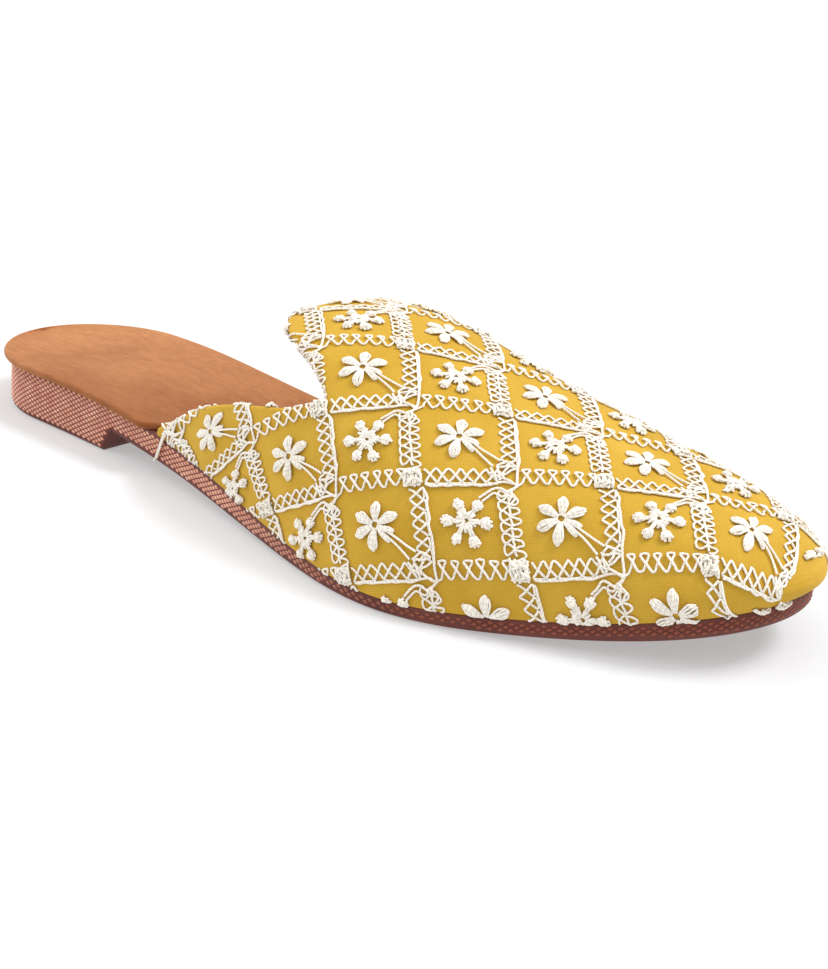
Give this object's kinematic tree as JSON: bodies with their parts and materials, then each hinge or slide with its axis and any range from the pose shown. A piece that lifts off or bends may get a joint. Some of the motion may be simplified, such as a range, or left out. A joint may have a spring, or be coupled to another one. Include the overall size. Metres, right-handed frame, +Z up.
{
  "type": "mule shoe",
  "caption": "Backless slip-on mule for the right foot: low-heeled moulded sole, padded insole and a hollow cloth upper with two wings, a throat and a rounded tongue.",
  "frame": {"origin": "on the floor under the middle of the shoe's bounding box", "axes": "+X towards the toe, +Y towards the inner side of the foot, +Z up"},
  "size_m": [0.261, 0.091, 0.0541],
  "materials": {
    "sole_rubber": "knurled matt moulded rubber, reddish brown",
    "insole_suede": "tan suede with a soft nap",
    "upper_cloth": "mustard plain-weave cloth with raised cream embroidery"
  },
  "bodies": {
    "root": {"outsole": "sole_rubber", "insole": "insole_suede", "upper": "upper_cloth"}
  },
  "joints": []
}
